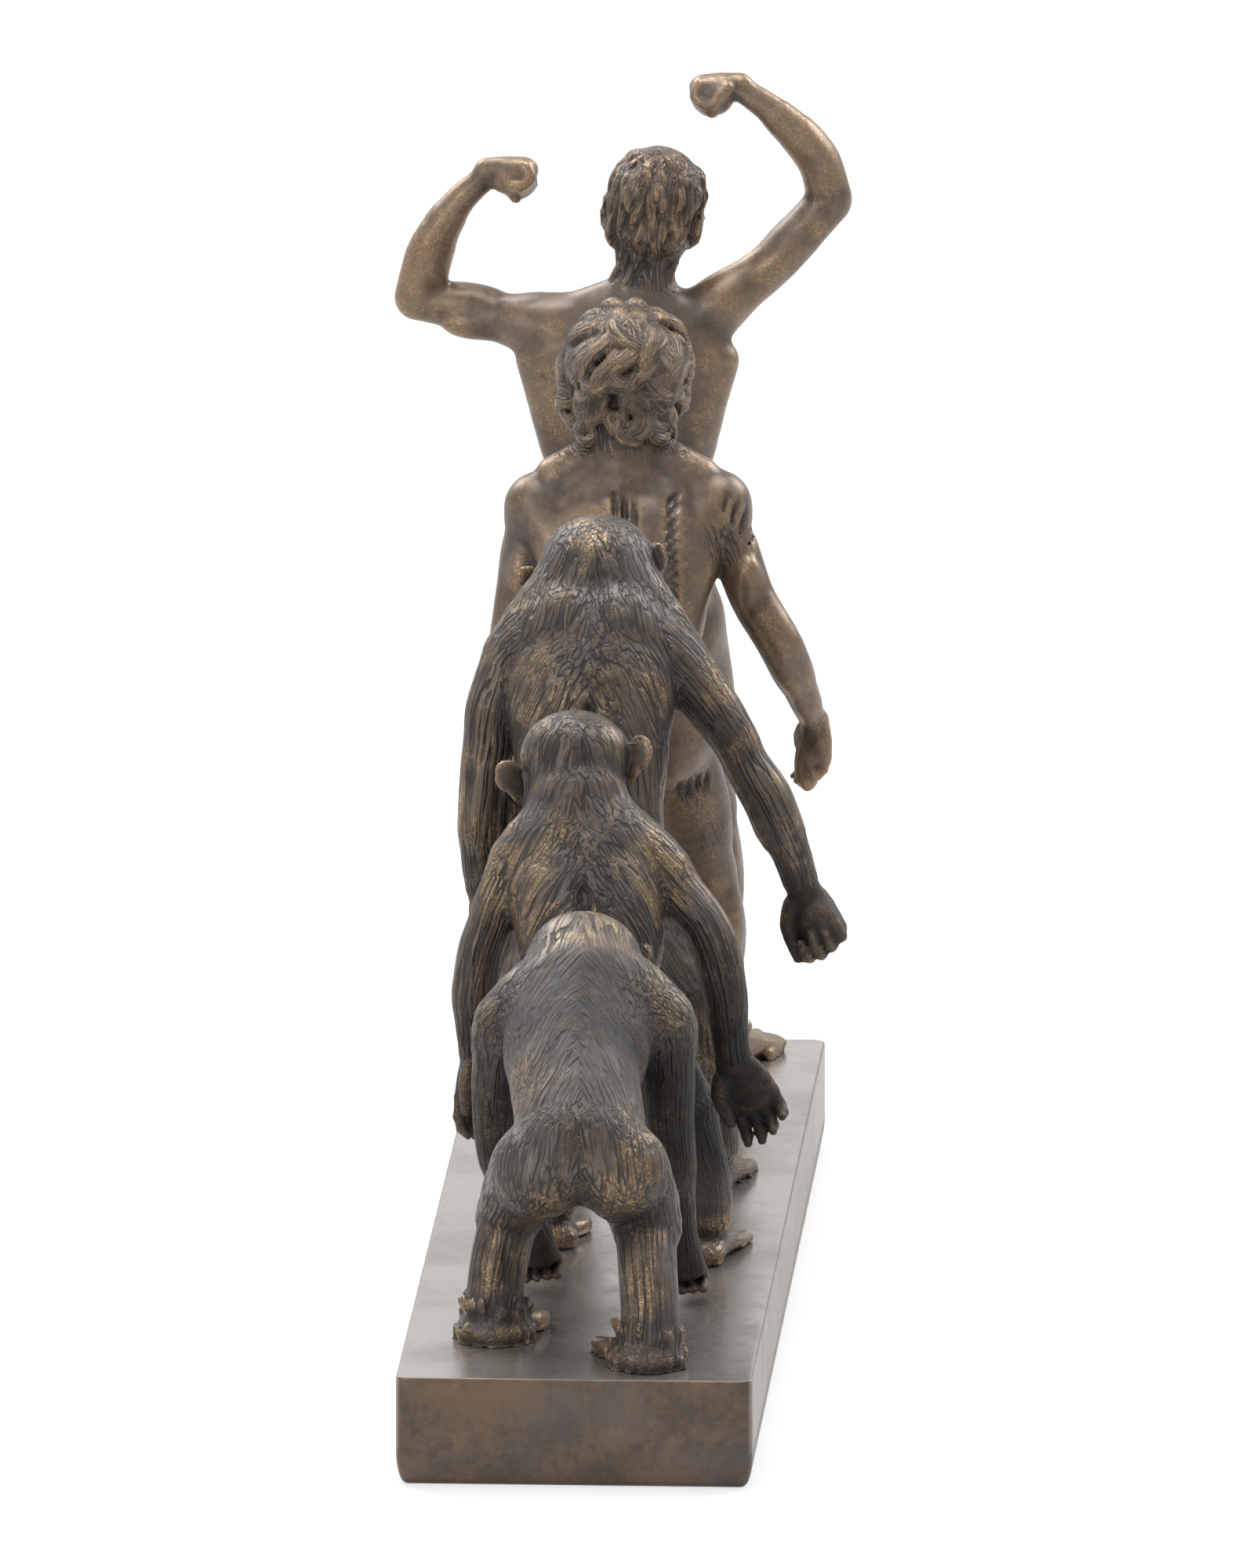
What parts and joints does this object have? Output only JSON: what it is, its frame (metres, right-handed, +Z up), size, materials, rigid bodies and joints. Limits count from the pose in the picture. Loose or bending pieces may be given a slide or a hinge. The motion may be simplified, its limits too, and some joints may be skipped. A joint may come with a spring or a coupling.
{
  "type": "figure group sculpture",
  "caption": "Desk sculpture of primates and men marching in file on a rectangular plinth, the leader flexing both arms, in antique bronze",
  "frame": {"origin": "middle of the plinth's flat underside, on the surface it stands on", "axes": "+Y is the way the figures march, along the plinth's length; +Z is up; +X is the figures' own right-hand side"},
  "size_m": [0.106, 0.3274, 0.2479],
  "materials": {
    "plinth_bronze": "smooth antique-bronze patina, greyish and lightly brushed on top",
    "ape_bronze": "dark antique-bronze patina with rubbed gold highlights over carved fur",
    "man_bronze": "antique-bronze patina, brown with rubbed gold highlights on smooth skin"
  },
  "bodies": {
    "root": {"plinth": "plinth_bronze", "knuckle_walking_ape": "ape_bronze", "crouching_ape": "ape_bronze", "upright_ape": "ape_bronze", "early_man": "man_bronze", "modern_man": "man_bronze"}
  },
  "joints": []
}
